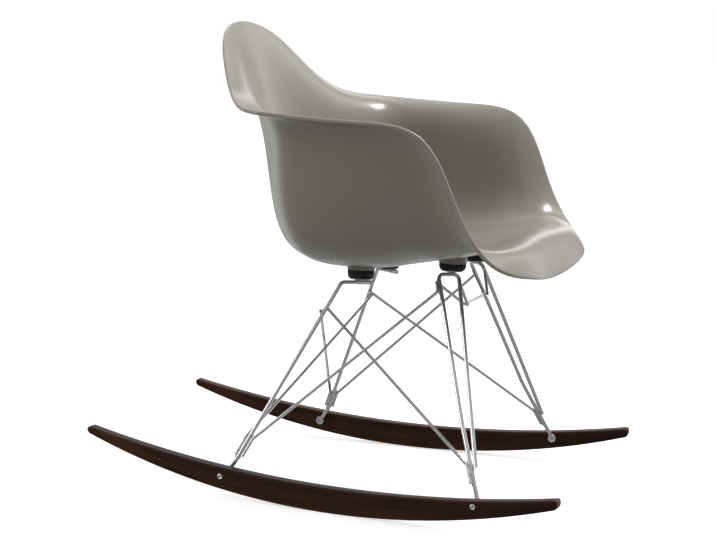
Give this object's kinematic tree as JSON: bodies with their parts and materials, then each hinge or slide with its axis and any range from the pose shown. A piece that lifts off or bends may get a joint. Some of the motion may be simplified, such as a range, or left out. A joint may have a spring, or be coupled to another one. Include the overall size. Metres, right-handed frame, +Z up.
{
  "type": "moulded plastic rocking chair",
  "caption": "Low armchair with a one-piece moulded bucket shell on a cross-braced wire base, bolted between two curved wooden rockers.",
  "frame": {"origin": "on the floor, below the middle of the chair's overall width and length", "axes": "+Z up, the sitter faces -Y, +X is to the sitter's left"},
  "size_m": [0.5873, 0.6894, 0.6487],
  "materials": {
    "shell": "satin",
    "wire": "polished",
    "bush": "polished",
    "rocker": "satin",
    "pad": "matt",
    "plate": "satin",
    "bolt": "satin",
    "insert": "satin"
  },
  "bodies": {
    "root": {"front_foot_bushes": "bush", "front_leg_left": "wire", "front_leg_right": "wire", "front_rocker_bolts": "bolt", "front_tie": "wire", "front_tie_post_left": "wire", "front_tie_post_right": "wire", "mount_pads_front": "pad", "mount_pads_rear": "pad", "mount_plates_front": "plate", "mount_plates_rear": "plate", "mount_screws_front": "bolt", "mount_screws_rear": "bolt", "rear_cross_brace_left": "wire", "rear_cross_brace_right": "wire", "rear_foot_bushes": "bush", "rear_leg_left": "wire", "rear_leg_right": "wire", "rear_rocker_bolts": "bolt", "rocker_left": "rocker", "rocker_right": "rocker", "seat_shell": "shell", "side_brace_long_left": "wire", "side_brace_long_right": "wire", "side_brace_short_left": "wire", "side_brace_short_right": "wire", "thread_inserts_front": "insert", "thread_inserts_rear": "insert"}
  },
  "joints": []
}
